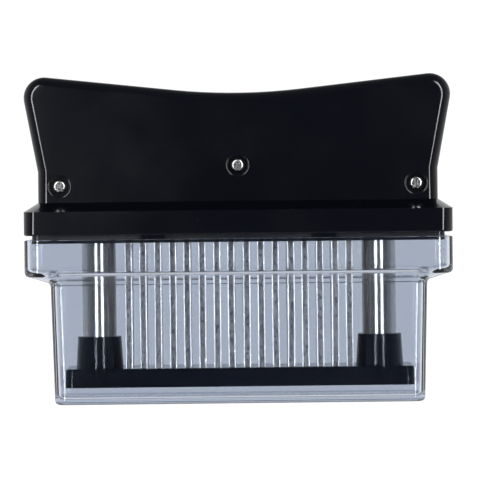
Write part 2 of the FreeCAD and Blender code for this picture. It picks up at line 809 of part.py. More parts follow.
def make_blade_row(name, row):
    holder = body_named(f"blade_holder_{name}")
    block = sketch_on(holder, "XY_Plane", plate_top)
    middle = row_pitch * row
    half = holder_length / 2
    add_box(block, -half, middle - holder_depth / 2, half, middle + holder_depth / 2)
    pad(holder, block, holder_height)
    slot_rows(holder, (row,), blade_play, plate_top, holder_height)
    nodes.append(holder)

    blades = body_named(f"blades_{name}")
    section = sketch_on(blades, "XY_Plane", tip_level)
    half_width = blade_width / 2
    flat = half_width - blade_bevel
    half_thick = blade_thickness / 2
    shape = [
        (-half_width, zero),
        (-flat, -half_thick),
        (flat, -half_thick),
        (half_width, zero),
        (flat, half_thick),
        (-flat, half_thick),
    ]
    corners = [(first_blade + across, middle + up) for across, up in shape]
    add_outline(section, corners)
    blade = pad(blades, section, holder_top - blade_top_room - tip_level)
    waste = sketch_on(blades, "XZ_Plane", -middle)
    for side in (-1, 1):
        edge = first_blade + half_width * side
        past = first_blade + blade_width * side
        below = tip_level - blade_point
        corners = [(first_blade, below), (past, below), (past, tip_level + blade_point)]
        corners += [(edge, tip_level + blade_point), (first_blade, tip_level)]
        add_outline(waste, corners)
    before = volume_of(blades)
    point = blades.newObject("PartDesign::Pocket", "Point")
    point.Profile = waste
    point.Midplane = True
    bind(point, "Length", blade_thickness * 2)
    if volume_of(blades) >= before:
        raise ValueError("the blades have no points")
    all_blades = repeat_along(blades, blade, "X_Axis", blade_count, blade_pitch)
    all_blades.Originals = [blade, point]
    nodes.append(blades)


make_base_plate()
for row_name, row_place in (("front", -1), ("middle", 0), ("rear", 1)):
    make_blade_row(row_name, row_place)


# Columns with their bushes, stop rings, plugs, springs and seats


def ring_profile(inner, outer, low, high):
    return [(inner, low), (outer, low), (outer, high), (inner, high)]


def make_spring(name, place):
    """A round wire wound on a screw line from the plug to the seat."""
    spring = body_named(f"spring_{name}")
    wire = spring_wire / 2
    mean = spring_diameter / 2 - wire
    start = plug_top + wire
    sketch = sketch_on(spring, "XZ_Plane")
    add_circle(sketch, mean, start, spring_wire)
    coil = spring.newObject("PartDesign::AdditiveHelix", "Coil")
    coil.Profile = sketch
    coil.ReferenceAxis = (origin_part(spring, "Z_Axis"), [""])
    coil.Mode = "height-turns-angle"
    height = spring_top - plug_top - spring_wire
    bind(coil, "Height", height)
    bind(coil, "Turns", spring_turns)
    bind(spring, "Placement.Base.x", place)
    gap = height / spring_turns - spring_wire
    print(f"spring_{name}: {gap.value:.2f} mm between turns")
    nodes.append(spring)


def make_column(name, side):
    place = column_place * side
    outer = column_diameter / 2
    inner = outer - column_wall
    tube = ring_profile(inner, outer, column_foot, column_top)
    nodes.append(turned(f"column_{name}", tube, place))
    ring = ring_profile(outer + boss_play, stop_ring / 2, bush_top, column_top)
    nodes.append(turned(f"column_stop_{name}", ring, place))
    bore = outer + column_play
    bush = [
        (bore + bush_chamfer, plate_top),
        (bush_diameter / 2, plate_top),
        (bush_diameter / 2, bush_top),
        (bore + bush_chamfer, bush_top),
        (bore, bush_top - bush_chamfer),
        (bore, plate_top + bush_chamfer),
    ]
    nodes.append(turned(f"guide_bush_{name}", bush, place))
    pilot = foot_screw_shank / 2 + pilot_play
    plug = ring_profile(pilot, inner - plug_play, column_foot, plug_top)
    nodes.append(turned(f"column_plug_{name}", plug, place))
    peg = seat_peg / 2
    seat = [
        (zero, spring_top - seat_peg_height),
        (peg, spring_top - seat_peg_height),
        (peg, spring_top),
        (chamber_diameter / 2 - stop_ring_play, spring_top),
        (chamber_diameter / 2 - stop_ring_play, chamber_top),
        (zero, chamber_top),
    ]
    nodes.append(turned(f"spring_seat_{name}", seat, place))
    make_spring(name, place)


for column_name, column_side in sides:
    make_column(column_name, column_side)


# Pressure foot: the slotted plate that slides up the blades on its two columns


def make_pressure_foot():
    body = body_named("pressure_foot")
    facet = foot_edge * quarter_round_inset
    insets = (
        (zero, foot_level),
        (foot_draft, foot_top - foot_edge),
        (foot_draft + facet, foot_top - facet),
        (foot_draft + foot_edge, foot_top),
    )
    levels = [
        (foot_length - inset * 2, foot_depth - inset * 2, foot_corner - inset, level)
        for inset, level in insets
    ]
    loft(body, "PartDesign::AdditiveLoft", rounded_boxes(body, levels))
    for side in (-1, 1):
        circles = []
        for level, diameter in ((foot_top, boss_bottom), (foot_top + boss_height, boss_top)):
            circle = sketch_on(body, "XY_Plane", level)
            add_circle(circle, column_place * side, zero, diameter)
            circles.append(circle)
        loft(body, "PartDesign::AdditiveLoft", circles)
    bores = sketch_on(body, "XY_Plane", column_foot)
    heads = sketch_on(body, "XY_Plane", foot_level)
    shanks = sketch_on(body, "XY_Plane", foot_level)
    for side in (-1, 1):
        place = column_place * side
        add_circle(bores, place, zero, column_diameter + boss_play * 2)
        add_circle(heads, place, zero, foot_screw_head + head_play * 2)
        add_circle(shanks, place, zero, foot_screw_shank + screw_play * 2)
    cut(body, bores, foot_height + boss_height, backwards=True)
    cut(body, heads, foot_counterbore_depth, backwards=True)
    cut(body, shanks, foot_counterbore_depth + foot_web + plug_height, backwards=True)
    slot_rows(body, (-1, 0, 1), foot_slot_play, foot_level, foot_height)
    nodes.append(body)


make_pressure_foot()


# Test every object, then write one file for each node

document.recompute()
for item in document.Objects:
    if "Invalid" in item.State or "Error" in item.State:
        raise ValueError(f"{item.Label} is {item.State}")
for node in nodes:
    if node.Shape.isNull() or not node.Shape.isValid():
        raise ValueError(f"{node.Label} has no valid shape")
os.makedirs("parts", exist_ok=True)
for node in nodes:
    box = node.Shape.BoundBox
    extent = f"{box.XLength:.2f} x {box.YLength:.2f} x {box.ZLength:.2f}"
    print(f"{node.Label}: {len(node.Shape.Solids)} solids, {extent}, from z {box.ZMin:.2f}")
    node.Shape.exportStep(os.path.join("parts", f"{node.Label}.step"))
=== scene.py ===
# %% [markdown]
# # A blade meat tenderizer in its clear storage cover
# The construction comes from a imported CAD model. This script gives the tool its looks: a polished
# black handle, steel columns and blades, and a clear stepped cover. Every length is in metres, in the
# CAD's own frame: +X along the handle, -Y towards the viewer, +Z up, with the floor at zero.

import math

import bmesh
import bpy
from mathutils import Matrix, Vector


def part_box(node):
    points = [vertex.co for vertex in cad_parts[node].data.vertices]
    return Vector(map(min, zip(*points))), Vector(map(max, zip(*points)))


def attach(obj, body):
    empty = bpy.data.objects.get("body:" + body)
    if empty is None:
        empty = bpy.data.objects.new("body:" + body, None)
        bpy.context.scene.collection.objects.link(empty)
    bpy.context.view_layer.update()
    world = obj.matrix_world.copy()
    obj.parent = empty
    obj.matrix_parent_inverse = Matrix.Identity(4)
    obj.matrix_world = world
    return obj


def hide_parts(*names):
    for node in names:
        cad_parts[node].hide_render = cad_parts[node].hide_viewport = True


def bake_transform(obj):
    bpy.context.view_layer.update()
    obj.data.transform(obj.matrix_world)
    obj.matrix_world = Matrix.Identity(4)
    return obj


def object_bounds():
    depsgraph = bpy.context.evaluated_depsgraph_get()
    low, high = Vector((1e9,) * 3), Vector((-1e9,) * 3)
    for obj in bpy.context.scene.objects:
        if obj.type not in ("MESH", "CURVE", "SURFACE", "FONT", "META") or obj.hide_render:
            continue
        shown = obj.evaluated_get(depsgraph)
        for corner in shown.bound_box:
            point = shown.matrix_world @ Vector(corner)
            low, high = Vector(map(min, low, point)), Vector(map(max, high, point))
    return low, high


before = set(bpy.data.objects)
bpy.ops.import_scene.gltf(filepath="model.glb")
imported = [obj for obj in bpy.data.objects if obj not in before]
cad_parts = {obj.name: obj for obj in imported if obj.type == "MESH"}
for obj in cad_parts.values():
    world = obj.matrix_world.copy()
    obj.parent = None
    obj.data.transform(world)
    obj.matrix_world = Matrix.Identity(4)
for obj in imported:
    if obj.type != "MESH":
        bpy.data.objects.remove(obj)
cad_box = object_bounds()
MM = 0.001
print("the CAD box in millimetres:", [[round(v / MM, 1) for v in corner] for corner in cad_box])

# %% [markdown]
# ## The camera
# The picture is a product shot through a long lens, almost square on. The camera stands a little above
# the tool's middle, so that the tops of the foot and of the step in the cover just show. The distance
# sets the perspective, and the lens then sets how many pixels a millimetre gets. A hair of roll leans
# the tool to the left, as it leans in the photograph.

# %% Place the camera
PICTURE_WIDTH = 500
PIXELS_PER_MM = 2.868
CENTRE_PIXEL_X = 238.5
FLOOR_PIXEL_Y = 404.5
CAMERA_DISTANCE = 1.6
CAMERA_HEIGHT = 0.098
SENSOR_WIDTH = 36.0
FARTHEST_SEEN = 20
CAMERA_ROLL = math.radians(-0.65)

front_face = cad_box[0].y
view_width = PICTURE_WIDTH / PIXELS_PER_MM * MM
aim_x = (PICTURE_WIDTH / 2 - CENTRE_PIXEL_X) / PIXELS_PER_MM * MM
aim_z = (FLOOR_PIXEL_Y - PICTURE_WIDTH / 2) / PIXELS_PER_MM * MM

camera_data = bpy.data.cameras.new("product_camera")
camera = bpy.data.objects.new("product_camera", camera_data)
bpy.context.scene.collection.objects.link(camera)
camera.location = (aim_x, front_face - CAMERA_DISTANCE, CAMERA_HEIGHT)
target = Vector((aim_x, front_face, aim_z))
looking = (target - camera.location).to_track_quat("-Z", "Y").to_matrix()
camera.rotation_euler = (looking @ Matrix.Rotation(CAMERA_ROLL, 3, "Z")).to_euler()
camera_data.sensor_width = SENSOR_WIDTH
camera_data.lens = SENSOR_WIDTH * (target - camera.location).length / view_width
camera_data.clip_end = FARTHEST_SEEN
bpy.context.scene.camera = camera
print("the lens is", round(camera_data.lens), "mm long")

# %% [markdown]
# ## Hands for modelling
# Operators act on whatever is selected, and the loaded CAD nodes are all selected. So each step begins
# by deselecting everything, and picks its faces and edges in code by where they lie.


# %% Small helpers
def deselect_all():
    for thing in bpy.context.selected_objects:
        thing.select_set(False)


def make_active(piece):
    deselect_all()
    piece.select_set(True)
    bpy.context.view_layer.objects.active = piece


def start_block(name, low, high):
    """A cube primitive stretched between two corners, with its place in its mesh."""
    deselect_all()
    low = Vector(low)
    high = Vector(high)
    bpy.ops.mesh.primitive_cube_add(size=1, location=(low + high) / 2, scale=high - low)
    return settle(bpy.context.active_object, name)


def start_cylinder(name, middle, radius, depth, axis="Z", sides=64):
    deselect_all()
    turn = {"X": (0, math.pi / 2, 0), "Y": (math.pi / 2, 0, 0), "Z": (0, 0, 0)}[axis]
    bpy.ops.mesh.primitive_cylinder_add(
        vertices=sides, radius=radius, depth=depth, location=middle, rotation=turn
    )
    return settle(bpy.context.active_object, name)


def settle(piece, name):
    """Name a piece and move its place into its mesh."""
    piece.name = name
    piece.data.name = name
    make_active(piece)
    bpy.ops.object.transform_apply(location=True, rotation=True, scale=True)
    return piece


def pick(piece, kind, wanted):
    """In edit mode, select only the faces, edges or verts that a test wants, and count them."""
    modes = {"verts": "VERT", "edges": "EDGE", "faces": "FACE"}
    bpy.ops.mesh.select_mode(type=modes[kind])
    bpy.ops.mesh.select_all(action="DESELECT")
    mesh = bmesh.from_edit_mesh(piece.data)
    chosen = [part for part in getattr(mesh, kind) if wanted(part)]
    for part in chosen:
        part.select_set(True)
    mesh.select_flush_mode()
    bmesh.update_edit_mesh(piece.data)
    return len(chosen)


def edit(piece):
    make_active(piece)
    bpy.ops.object.mode_set(mode="EDIT")


def leave_edit():
    bpy.ops.object.mode_set(mode="OBJECT")


def edge_along(axis, test):
    """A test for the edges that run along one axis and whose middle passes a second test."""

    def wanted(edge):
        run = edge.verts[1].co - edge.verts[0].co
        if abs(run[axis]) < run.length * 0.999:
            return False
        return test((edge.verts[0].co + edge.verts[1].co) / 2)

    return wanted


def bevel_picked(width, segments=4):
    bpy.ops.mesh.bevel(offset=width, segments=segments, profile=0.5, affect="EDGES")


def resize_picked(scale, middle):
    bpy.ops.transform.resize(value=scale, center_override=middle)


def raise_picked(height):
    bpy.ops.mesh.extrude_region_move(TRANSFORM_OT_translate={"value": (0, 0, height)})


def apply_modifier(piece, kind, **settings):
    make_active(piece)
    modifier = piece.modifiers.new(kind.lower(), kind)
    for key, value in settings.items():
        setattr(modifier, key, value)
    bpy.ops.object.modifier_apply(modifier=modifier.name)


def cut_with(piece, cutter):
    """Take one closed shape out of another, and throw the cutter away."""
    apply_modifier(piece, "BOOLEAN", object=cutter, operation="DIFFERENCE", solver="EXACT")
    bpy.data.objects.remove(cutter)


def weld_on(piece, other):
    apply_modifier(piece, "BOOLEAN", object=other, operation="UNION", solver="EXACT")
    bpy.data.objects.remove(other)


def smooth(piece, degrees=35):
    """Shade round where faces meet softly, and keep flat faces flat by weighting their normals."""
    make_active(piece)
    bpy.ops.object.shade_smooth_by_angle(angle=math.radians(degrees))
    apply_modifier(piece, "WEIGHTED_NORMAL", keep_sharp=True)


def paint(piece, material):
    piece.data.materials.clear()
    piece.data.materials.append(material)


def face_outwards(piece):
    edit(piece)
    bpy.ops.mesh.select_all(action="SELECT")
    bpy.ops.mesh.remove_doubles(threshold=1e-7)
    bpy.ops.mesh.normals_make_consistent(inside=False)
    leave_edit()


def copy_piece(piece, name, shift=(0, 0, 0)):
    """A copy with its own mesh, moved by a shift."""
    made = piece.copy()
    made.data = piece.data.copy()
    made.name = name
    made.data.name = name
    made.data.transform(Matrix.Translation(shift))
    bpy.context.scene.collection.objects.link(made)
    return made


def join_pieces(pieces, name):
    make_active(pieces[0])
    for piece in pieces:
        piece.select_set(True)
    bpy.ops.object.join()
    return settle(pieces[0], name)


def finish_piece(piece, body, material, slot, *nodes):
    """Give a piece its material, the body it rides on, and the CAD nodes it stands for."""
    if material is not None:
        paint(piece, material)
    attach(piece, body)
    if nodes:
        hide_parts(*nodes)
    print(piece.name, "has", len(piece.data.polygons), "faces")


# %% [markdown]
# ## Shader maths written as sums
# A material is a small graph of nodes. Wrapping a socket in a class lets the graph be written as plain
# arithmetic: 1 - mask adds a Math node and returns its output.


# %% Wrap sockets
class Signal:
    """An output socket of a material, on which sums make Math nodes."""

    def __init__(self, graph, socket):
        self.graph = graph
        self.socket = socket

    def sum(self, operation, *others):
        inputs = [self, *others]
        return self.graph.add("ShaderNodeMath", {"operation": operation}, *inputs)

    def __add__(self, other):
        return self.sum("ADD", other)

    def __radd__(self, other):
        return self.sum("ADD", other)

    def __sub__(self, other):
        return self.sum("SUBTRACT", other)

    def __rsub__(self, other):
        return self.graph.add("ShaderNodeMath", {"operation": "SUBTRACT"}, other, self)

    def __mul__(self, other):
        return self.sum("MULTIPLY", other)

    def __rmul__(self, other):
        return self.sum("MULTIPLY", other)

    def clamped(self):
        return self.graph.add("ShaderNodeClamp", {}, self)


class Graph:
    """The nodes of one material, with one Principled shader."""

    def __init__(self, name):
        self.material = bpy.data.materials.new(name)
        self.material.use_nodes = True
        self.nodes = self.material.node_tree.nodes
        self.links = self.material.node_tree.links
        self.nodes.clear()
        self.shader = self.nodes.new("ShaderNodeBsdfPrincipled")
        self.output = self.nodes.new("ShaderNodeOutputMaterial")
        self.links.new(self.shader.outputs[0], self.output.inputs["Surface"])
        place = self.nodes.new("ShaderNodeTexCoord")
        self.place = Signal(self, place.outputs["Object"])

    def feed(self, socket, value):
        if isinstance(value, Signal):
            self.links.new(value.socket, socket)
        else:
            socket.default_value = value

    def add(self, kind, settings, *inputs, output=0, **named):
        """Any node: its settings first, then its inputs by place or by name."""
        node = self.nodes.new(kind)
        for key, value in settings.items():
            if key == "stops":
                self.set_stops(node.color_ramp, value)
            else:
                setattr(node, key, value)
        for socket, value in zip(node.inputs, inputs):
            self.feed(socket, value)
        for key, value in named.items():
            self.feed(node.inputs[key], value)
        return Signal(self, node.outputs[output])

    def set_stops(self, ramp, stops):
        while len(ramp.elements) < len(stops):
            ramp.elements.new(0.5)
        for element, (position, colour) in zip(ramp.elements, stops):
            element.position = position
            element.color = (*colour, 1) if len(colour) == 3 else (colour[0],) * 3 + (1,)

    def stretched(self, scale):
        """Object coordinates scaled by different amounts along X, Y and Z."""
        return self.add("ShaderNodeMapping", {}, Vector=self.place, Scale=scale)

    def noise(self, scale, detail=4, where=None, stretch=None):
        where = self.stretched(stretch) if stretch else (where or self.place)
        return self.add("ShaderNodeTexNoise", {}, Vector=where, Scale=scale, Detail=detail)

    def dust(self, scale, size):
        """A mask of sparse round specks: the middles of some of a Voronoi pattern's cells."""
        where = {"Vector": self.place, "Scale": scale}
        near = self.add("ShaderNodeTexVoronoi", {"feature": "F1"}, output="Distance", **where)
        chance = self.add("ShaderNodeTexVoronoi", {"feature": "F1"}, output="Color", **where)
        specks = self.ramp(near, size * 0.7, size * 1.3, 1.0, 0.0)
        return specks * self.ramp(chance, 0.60, 0.66)

    def ramp(self, value, low, high, start=0.0, end=1.0):
        """A grey that runs from start to end while the value runs from low to high."""
        return self.add(
            "ShaderNodeMapRange",
            {"clamp": True},
            **{"Value": value, "From Min": low, "From Max": high, "To Min": start, "To Max": end},
        )

    def between(self, mask, first, second):
        """A colour that goes from first to second with a mask."""
        node = self.nodes.new("ShaderNodeMix")
        node.data_type = "RGBA"
        self.feed(node.inputs["Factor"], mask)
        self.feed(node.inputs[6], (*first, 1) if isinstance(first, tuple) else first)
        self.feed(node.inputs[7], (*second, 1) if isinstance(second, tuple) else second)
        return Signal(self, node.outputs[2])

    def bump(self, height, strength, distance):
        return self.add("ShaderNodeBump", {}, Height=height, Strength=strength, Distance=distance)

    def set(self, **sockets):
        for key, value in sockets.items():
            name = key.replace("_", " ")
            socket = self.shader.inputs[name]
            if name == "Base Color" and isinstance(value, tuple):
                value = (*value, 1)
            self.feed(socket, value)


# %% [markdown]
# ## Black moulded plastic
# The handle is injection moulded in polished black plastic. Up close it isn't a perfect mirror: the skin
# is faintly wavy, fingers leave a dull film, and cleaning leaves hair-thin scratches. Noise at three
# scales gives the film, the waviness and the scratches, and only the roughness and the bump read them.


# %% Plastic materials
def black_plastic(name, colour, gloss, film, wave):
    g = Graph(name)
    smear = g.ramp(g.noise(38, 5), 0.45, 0.75)
    haze = g.noise(420, 3)
    scratch_a = g.ramp(g.noise(260, 2, stretch=(1, 1, 14)), 0.66, 0.72)
    scratch_b = g.ramp(g.noise(230, 2, stretch=(11, 3, 1.4)), 0.67, 0.73)
    scratches = (scratch_a + scratch_b).clamped()
    dust = g.dust(150, 0.018)
    g.set(
        Base_Color=g.between(dust, colour, (0.30, 0.31, 0.33)),
        Roughness=smear * film + haze * 0.03 + scratches * 0.03 + gloss,
        Specular_IOR_Level=0.4,
        IOR=1.5,
    )
    waves = g.bump(g.noise(24, 2), wave, 0.0006)
    height = haze * 0.2 - scratches * 0.1
    lines = g.add("ShaderNodeBump", {}, Height=height, Strength=0.04, Distance=0.0001, Normal=waves)
    g.set(Normal=lines)
    return g.material


handle_black = black_plastic("handle_black", (0.0018, 0.0024, 0.0045), 0.10, 0.05, 0.05)
foot_black = black_plastic("foot_black", (0.005, 0.006, 0.010), 0.09, 0.05, 0.02)
plate_black = black_plastic("plate_black", (0.006, 0.008, 0.013), 0.20, 0.08, 0.05)


def moulded_plastic(name, colour, shade):
    g = Graph(name)
    cloud = g.noise(90, 4)
    g.set(
        Base_Color=g.between(g.ramp(cloud, 0.35, 0.7), colour, shade),
        Roughness=g.ramp(g.noise(700, 3), 0.3, 0.7, 0.42, 0.56),
        Normal=g.bump(g.noise(900, 2), 0.15, 0.0001),
    )
    return g.material


holder_grey = moulded_plastic("holder_grey", (0.03, 0.03, 0.034), (0.045, 0.045, 0.05))
bush_white = moulded_plastic("bush_white", (0.74, 0.72, 0.66), (0.80, 0.78, 0.72))

# %% [markdown]
# ## Steel
# The columns are drawn tube with a fine turned finish, so their scratches run round them and a light
# shows as a tall soft line. The blades are rolled strip: their flats keep a dull grainy rolling skin,
# and only the two ground edges are bright. Chrome, wire and brass vary less.


# %% Metal materials
def turned_steel(name, light, dark, rough, ring_stretch):
    g = Graph(name)
    rings = g.noise(300, 4, stretch=ring_stretch)
    cloud = g.noise(60, 3)
    g.set(
        Base_Color=g.between(g.ramp(rings, 0.35, 0.65), light, dark),
        Metallic=1.0,
        Roughness=g.ramp(rings, 0.3, 0.7, rough - 0.05, rough + 0.07) + cloud * 0.06 - 0.03,
        Normal=g.bump(rings, 0.18, 0.00006),
    )
    return g.material


column_steel = turned_steel("column_steel", (0.60, 0.585, 0.555), (0.52, 0.51, 0.49), 0.15, (1, 1, 60))
spring_steel = turned_steel("spring_steel", (0.42, 0.42, 0.43), (0.34, 0.34, 0.35), 0.30, (8, 8, 8))
plain_steel = turned_steel("plain_steel", (0.52, 0.52, 0.52), (0.44, 0.44, 0.44), 0.32, (1, 1, 30))
plug_brass = turned_steel("plug_brass", (0.78, 0.60, 0.32), (0.68, 0.51, 0.26), 0.28, (1, 1, 30))
screw_chrome = turned_steel("screw_chrome", (0.50, 0.50, 0.51), (0.38, 0.38, 0.39), 0.20, (4, 4, 4))


def rolled_strip(name):
    g = Graph(name)
    grain = g.noise(1500, 3, stretch=(1, 1, 0.35))
    spots = g.ramp(g.noise(800, 2), 0.55, 0.68)
    streak = g.noise(500, 2, stretch=(1, 1, 0.03))
    tone = (grain * 0.6 + streak * 0.4 - spots * 0.25).clamped()
    g.set(
        Base_Color=g.between(g.ramp(tone, 0.3, 0.62), (0.085, 0.085, 0.09), (0.27, 0.265, 0.255)),
        Metallic=1.0,
        Roughness=g.ramp(grain, 0.3, 0.7, 0.34, 0.52),
        Normal=g.bump(grain, 0.35, 0.00008),
    )
    return g.material


def ground_edge(name):
    g = Graph(name)
    strokes = g.noise(900, 3, stretch=(1, 1, 3))
    g.set(
        Base_Color=g.between(g.ramp(strokes, 0.35, 0.65), (0.62, 0.59, 0.55), (0.46, 0.44, 0.42)),
        Metallic=1.0,
        Roughness=g.ramp(strokes, 0.3, 0.7, 0.24, 0.38),
        Normal=g.bump(strokes, 0.2, 0.00005),
    )
    return g.material


blade_skin = rolled_strip("blade_skin")
blade_ground = ground_edge("blade_ground")

# %% [markdown]
# ## Clear plastic
# The cover is a clear moulding with a cool tint. It refracts, so its edges and corners catch light, and
# it is very slightly uneven. Light has to reach the tool through it, so shadow rays meet a tinted
# transparent shader instead of the refracting one.


# %% Clear material
def clear_plastic(name, tint, shadow_tint, rough):
    g = Graph(name)
    flow = g.noise(16, 2, stretch=(1, 1, 0.6))
    rub = g.ramp(g.noise(55, 5), 0.52, 0.75)
    g.set(
        Base_Color=tint,
        Roughness=rub * 0.03 + rough,
        Transmission_Weight=1.0,
        IOR=1.46,
        Normal=g.bump(flow, 0.10, 0.0005),
    )
    clear = g.nodes.new("ShaderNodeBsdfTransparent")
    clear.inputs["Color"].default_value = (*shadow_tint, 1)
    rays = g.nodes.new("ShaderNodeLightPath")
    mix = g.nodes.new("ShaderNodeMixShader")
    g.links.new(rays.outputs["Is Shadow Ray"], mix.inputs["Fac"])
    g.links.new(g.shader.outputs[0], mix.inputs[1])
    g.links.new(clear.outputs[0], mix.inputs[2])
    g.links.new(mix.outputs[0], g.output.inputs["Surface"])
    return g.material


cover_clear = clear_plastic("cover_clear", (0.615, 0.655, 0.725), (0.86, 0.89, 0.93), 0.01)
# The bottom edge's darker tint is painted shade, not a different plastic.
cover_shaded_foot = clear_plastic("cover_shaded_foot", (0.30, 0.355, 0.46), (0.80, 0.84, 0.90), 0.03)
cover_frosted = clear_plastic("cover_frosted", (0.62, 0.67, 0.76), (0.80, 0.84, 0.90), 0.09)

# %% [markdown]
# ## The storage cover
# The cover is one thin moulding: a narrow lower box with drafted walls, a sloping step and a wider
# upper box, open at the top. A flat disc is laid on the outline of the underside. Extruding it ring by
# ring, each ring on its own rounded rectangle, goes up the outside, over the rim and down the inside to
# the floor, so the walls, the soft turns at the step and the rounded corners come out in one closed skin.

# %% Sizes of the cover's form
cover_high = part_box("storage_cover")[1]
WALL = 2.0 * MM
UPPER = Vector((cover_high.x, cover_high.y, 5.5 * MM))
LOWER = Vector((cover_high.x - 9.0 * MM, cover_high.y - 3.5 * MM, 4.2 * MM))
UNDERSIDE = Vector((LOWER.x - 1.0 * MM, LOWER.y - 1.0 * MM, 4.2 * MM))
STEP_FOOT = 42.6 * MM
STEP_TOP = 45.4 * MM
INNER_SHELF = 1.45 * MM
BOTTOM_ROUND = 1.6 * MM
RIM_ROUND = 0.4 * MM
TURN_REACH = 1.3 * MM
TURN_SHARE = 0.14
BAND_MARGIN = 0.1 * MM
CORNER_STEPS = 10
ROUND_STEPS = 5


def drawn_in(form, inset):
    """A rounded rectangle (half length, half depth, corner radius) moved in by an inset."""
    return form - Vector((inset, inset, inset))


def soft_turn(start, corner, end):
    """Points on a smooth turn from start to end that leans towards the corner."""
    shares = [step / ROUND_STEPS for step in range(ROUND_STEPS + 1)]
    return [start * (1 - t) ** 2 + corner * 2 * t * (1 - t) + end * t**2 for t in shares]


def step_rings(inset, raised):
    """The step from the lower box to the upper one, as (rounded rectangle, level) pairs."""
    foot = Vector((0, STEP_FOOT + raised))
    top = Vector((1, STEP_TOP + raised))
    below = foot - Vector((0, TURN_REACH))
    above = top + Vector((0, TURN_REACH))
    turns = soft_turn(below, foot, foot.lerp(top, TURN_SHARE))
    turns += soft_turn(foot.lerp(top, 1 - TURN_SHARE), top, above)
    return [(drawn_in(LOWER.lerp(UPPER, share), inset), level) for share, level in turns]


def bottom_rings(inset, floor, radius):
    """The rounded edge between a floor and the walls above it."""
    rings = []
    for step in range(ROUND_STEPS + 1):
        turn = math.pi / 2 * step / ROUND_STEPS
        inwards = inset + radius * (1 - math.sin(turn))
        rings.append((drawn_in(UNDERSIDE, inwards), floor + radius * (1 - math.cos(turn))))
    return rings


outside = bottom_rings(0, 0, BOTTOM_ROUND) + step_rings(0, 0)
inside = bottom_rings(WALL, WALL, BOTTOM_ROUND) + step_rings(WALL, INNER_SHELF)
rim = [
    (UPPER, cover_high.z - RIM_ROUND),
    (drawn_in(UPPER, RIM_ROUND * 0.3), cover_high.z - RIM_ROUND * 0.3),
    (drawn_in(UPPER, RIM_ROUND), cover_high.z),
    (drawn_in(UPPER, WALL - RIM_ROUND), cover_high.z),
    (drawn_in(UPPER, WALL - RIM_ROUND * 0.3), cover_high.z - RIM_ROUND * 0.3),
    (drawn_in(UPPER, WALL), cover_high.z - RIM_ROUND),
]
cover_rings = outside + rim + inside[::-1]
print("the cover has", len(cover_rings), "rings")

# %% [markdown]
# Each ring has the same number of points, so every extrusion only has to lay the cap's points on their
# new places.


# %% Extrude the cover
def ring_points(form, level):
    """The points of a rounded rectangle, in order round it."""
    points = []
    for quarter, (side_x, side_y) in enumerate(((1, 1), (-1, 1), (-1, -1), (1, -1))):
        middle = Vector((side_x * (form.x - form.z), side_y * (form.y - form.z), level))
        for step in range(CORNER_STEPS + 1):
            turn = math.pi / 2 * (quarter + step / CORNER_STEPS)
            points.append(middle + Vector((math.cos(turn), math.sin(turn), 0)) * form.z)
    return points


def move_cap(piece, before, after):
    """Move each selected point from its place on one ring to its place on the next."""
    mesh = bmesh.from_edit_mesh(piece.data)
    for vert in [vert for vert in mesh.verts if vert.select]:
        nearest = min(range(len(before)), key=lambda index: (before[index] - vert.co).length)
        vert.co = after[nearest]
    bmesh.update_edit_mesh(piece.data)


def model_cover():
    rings = [ring_points(*ring) for ring in cover_rings]
    deselect_all()
    bpy.ops.mesh.primitive_circle_add(vertices=len(rings[0]), radius=UPPER.x, fill_type="NGON")
    cover = settle(bpy.context.active_object, "clear_cover")
    edit(cover)
    bpy.ops.mesh.select_all(action="SELECT")
    mesh = bmesh.from_edit_mesh(cover.data)
    in_order = sorted(mesh.verts, key=lambda vert: math.atan2(vert.co.y, vert.co.x) % (2 * math.pi))
    for vert, point in zip(in_order, rings[0]):
        vert.co = point
    bmesh.update_edit_mesh(cover.data)
    for before, after in zip(rings, rings[1:]):
        bpy.ops.mesh.extrude_region_move()
        move_cap(cover, before, after)
    leave_edit()
    face_outwards(cover)
    smooth(cover, 40)
    return cover


def middle_level(face):
    return face.calc_center_median().z


def give_material(piece, index, wanted):
    """In edit mode, put the faces that a test wants on one of the piece's materials."""
    pick(piece, "faces", wanted)
    piece.active_material_index = index
    bpy.ops.object.material_slot_assign()


def paint_cover(cover):
    """The step's upper rim is a little rougher than the walls, and the bottom edge gets a darker tint:
    painted shade for the darker blue that refraction gives there.
    """
    for material in (cover_clear, cover_frosted, cover_shaded_foot):
        cover.data.materials.append(material)
    low, high = STEP_TOP - BAND_MARGIN, STEP_TOP + INNER_SHELF + BAND_MARGIN
    edit(cover)
    give_material(cover, 1, lambda face: low < middle_level(face) < high and abs(face.normal.z) > 0.1)
    give_material(cover, 2, lambda face: middle_level(face) < BOTTOM_ROUND and abs(face.normal.z) < 0.95)
    leave_edit()


clear_cover = model_cover()
paint_cover(clear_cover)
finish_piece(clear_cover, "cover", None, "clear_cover", "storage_cover")

# %% [markdown]
# ## The columns
# Each column is a length of steel tube. A cylinder gives the outside, an inset of its end faces and a
# bridge between the two insets make the bore, and a small bevel breaks the edges as a lathe does.

# %% Model a column
TUBE_WALL = 0.6 * MM
TUBE_BREAK = 0.15 * MM


def at_level(edge, level):
    return all(abs(vert.co.z - level) < 1e-5 for vert in edge.verts)


def model_column(side):
    low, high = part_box(f"column_{side}")
    middle = (low + high) / 2
    radius = (high.x - low.x) / 2
    tube = start_cylinder(f"steel_column_{side}", middle, radius, high.z - low.z, sides=96)
    edit(tube)
    pick(tube, "faces", lambda face: abs(face.normal.z) > 0.9)
    bpy.ops.mesh.inset(thickness=TUBE_WALL)
    bpy.ops.mesh.bridge_edge_loops()
    pick(
        tube,
        "edges",
        lambda edge: (at_level(edge, low.z) or at_level(edge, high.z))
        and any(abs(face.normal.z) < 0.5 for face in edge.link_faces),
    )
    bevel_picked(TUBE_BREAK, 2)
    leave_edit()
    face_outwards(tube)
    smooth(tube)
    return tube


for side in ("left", "right"):
    tube = model_column(side)
    finish_piece(tube, "foot", column_steel, "column_steel", f"column_{side}")

